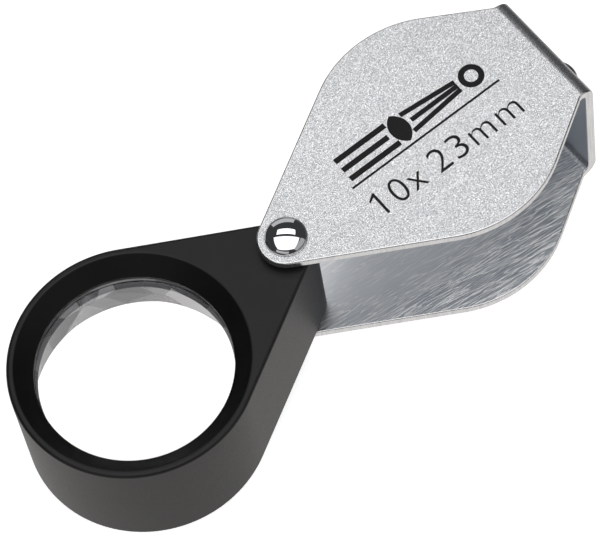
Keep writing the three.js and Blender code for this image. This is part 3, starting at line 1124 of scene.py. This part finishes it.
def make_numbers():
    """The magnification and the lens size, in plain figures."""
    bm = bmesh.new()
    tall = glyph("0")
    unit = FIGURE_HEIGHT / max(vert.co.y for vert in tall.vertices)
    for character, left, right in FIGURES:
        mesh = glyph(character)
        low = min(vert.co.x for vert in mesh.vertices)
        high = max(vert.co.x for vert in mesh.vertices)
        for vert in mesh.vertices:
            share = (vert.co.x - low) / (high - low)
            height = INK_BASE + (INK_HEIGHT if vert.co.z > 0 else 0)
            vert.co = (PIVOT.x + left + share * (right - left), BASELINE + unit * vert.co.y, height)
        bm.from_mesh(mesh)
    bmesh.ops.remove_doubles(bm, verts=bm.verts, dist=SAME_POINT)
    raise_one(bm)
    bmesh.ops.recalc_face_normals(bm, faces=bm.faces)
    numbers = to_object("printed_numbers", bm, [INK])
    place(numbers, "cover_body", "printed_ink")


# ---- Studio ---------------------------------------------------------------------------------------

# What the camera looks at, in metres.
TARGET = (PIVOT + Vector((1.02, 0.15, 11.2))) * MM
CAMERA_AZIMUTH = math.radians(-28.19)
CAMERA_ELEVATION = math.radians(62.94)
CAMERA_ROLL = math.radians(-11.15)
CAMERA_DISTANCE = 445.4 * MM
CAMERA_LENS = 230.4


def make_camera():
    """Long lens, from the photograph's side."""
    back = Vector((
        math.sin(CAMERA_AZIMUTH) * math.cos(CAMERA_ELEVATION),
        -math.cos(CAMERA_AZIMUTH) * math.cos(CAMERA_ELEVATION),
        math.sin(CAMERA_ELEVATION)))
    data = bpy.data.cameras.new("camera")
    data.lens = CAMERA_LENS
    data.sensor_width = 36
    data.clip_start = 0.02
    data.clip_end = 20
    camera = bpy.data.objects.new("camera", data)
    bpy.context.scene.collection.objects.link(camera)
    camera.location = TARGET + back * CAMERA_DISTANCE
    aim = (-back).to_track_quat("-Z", "Y").to_matrix().to_4x4()
    camera.rotation_euler = (aim @ Matrix.Rotation(CAMERA_ROLL, 4, "Z")).to_euler()
    bpy.context.scene.camera = camera


# The table, in metres, and the lit patch on it.
FLOOR_SIZE = 4.0
GLOW_MIDDLE = (RING + Vector((5, -20, 0))) * MM
GLOW_FULL = 75 * MM
GLOW_END = 130 * MM
GLOW_IN_ROOM = 0.03
GLOW_IN_METAL = 0.76
GLOW_THROUGH_GLASS = 1.24


def make_floor():
    """White table. What the loupe reflects of it is a lit patch that fades into a dark room. The
    patch is brighter where it is seen through the glass."""
    bm = bmesh.new()
    bmesh.ops.create_grid(bm, x_segments=1, y_segments=1, size=FLOOR_SIZE)
    mesh = bpy.data.meshes.new("floor")
    bm.to_mesh(mesh)
    bm.free()
    floor = bpy.data.objects.new("floor", mesh)
    bpy.context.scene.collection.objects.link(floor)
    material, tree, shader, coords = new_material("white_table")
    shader.inputs["Base Color"].default_value = (0.85, 0.85, 0.85, 1)
    shader.inputs["Roughness"].default_value = 0.9
    shader.inputs["Emission Color"].default_value = (1, 1, 1, 1)
    shader.inputs["Emission Strength"].default_value = 0.72
    glow = node(tree, "ShaderNodeEmission")
    glow.inputs["Color"].default_value = (1.0, 0.985, 0.965, 1)
    reach = distance_from(tree, coords, GLOW_MIDDLE)
    patch = remap(tree, reach, GLOW_FULL, GLOW_END, 1.0, GLOW_IN_ROOM)
    through = node(tree, "ShaderNodeLightPath").outputs["Is Transmission Ray"]
    strength = remap(tree, through, 0.0, 1.0, GLOW_IN_METAL, GLOW_THROUGH_GLASS)
    tree.links.new(combine(tree, "MULTIPLY", patch, strength), glow.inputs["Strength"])
    surface = tree.nodes["Material Output"].inputs["Surface"]
    choose_by_ray(tree, "Is Camera Ray", glow.outputs["Emission"], shader.outputs["BSDF"], surface)
    mesh.materials.append(material)


DOWN = (0, 0, -1)
SKEW = math.radians(-41.5)
# Each softbox: its name, its place from the loupe's middle, the way it faces, its turn, its width
# and height in metres, and its radiance, which is how bright it looks in a mirror.
SOFTBOXES = (
    ("overhead_front", (-0.0792, -0.09, 0.40), DOWN, SKEW, 0.60, 0.456, 1.35),
    ("overhead_back", (0.1264, 0.192, 0.40), DOWN, SKEW, 0.36, 0.136, 1.65),
    ("right_card", (0.27, -0.45, 0.29), (-0.27, 0.45, -0.20), 0, 0.62, 0.50, 0.36),
    ("left_card", (-0.46, -0.30, 0.22), (0.46, 0.30, -0.14), 0, 0.56, 0.30, 0.45),
    ("back_card", (0.23, 0.446, 0.14), (-0.23, -0.446, -0.03), 0, 0.46, 0.28, 0.48),
)


def softbox(name, position, aim, turn, width, height, radiance):
    """An area light from one line of the table above."""
    data = bpy.data.lights.new(name, "AREA")
    data.shape = "RECTANGLE"
    data.size = width
    data.size_y = height
    data.energy = radiance * math.pi * width * height
    light = bpy.data.objects.new(name, data)
    bpy.context.scene.collection.objects.link(light)
    light.location = TARGET + Vector(position)
    facing = (-Vector(aim)).to_track_quat("Z", "Y").to_matrix().to_4x4()
    light.rotation_euler = (facing @ Matrix.Rotation(turn, 4, "Z")).to_euler()


def make_room():
    """Dark bluish room, with a plain pale backdrop behind the table."""
    world = bpy.data.worlds.new("studio")
    world.use_nodes = True
    tree = world.node_tree
    room = tree.nodes["Background"]
    room.inputs["Color"].default_value = (0.90, 0.95, 1.0, 1)
    room.inputs["Strength"].default_value = 0.045
    backdrop = node(tree, "ShaderNodeBackground")
    backdrop.inputs["Color"].default_value = (0.95, 0.95, 0.95, 1)
    surface = tree.nodes["World Output"].inputs["Surface"]
    choose_by_ray(
        tree, "Is Camera Ray", room.outputs["Background"], backdrop.outputs["Background"], surface)
    bpy.context.scene.world = world
    bpy.context.scene.view_settings.view_transform = "Standard"


def make_lights():
    """Two big softboxes side by side overhead, and weak cards round the front and behind."""
    for box in SOFTBOXES:
        softbox(*box)


make_camera()
make_floor()
make_lights()
make_room()

make_cover()
make_holder()
make_lens("eye_lens_glass", eye_high.z, -1, "eye_lens")
make_lens("field_lens_glass", field_low.z, 1, "field_lens")
make_spacer()
make_retainer()
make_rivet_post()
make_rivet_cap()
make_upper_washer()
make_wave_washer()
make_loop()
make_symbol()
make_numbers()
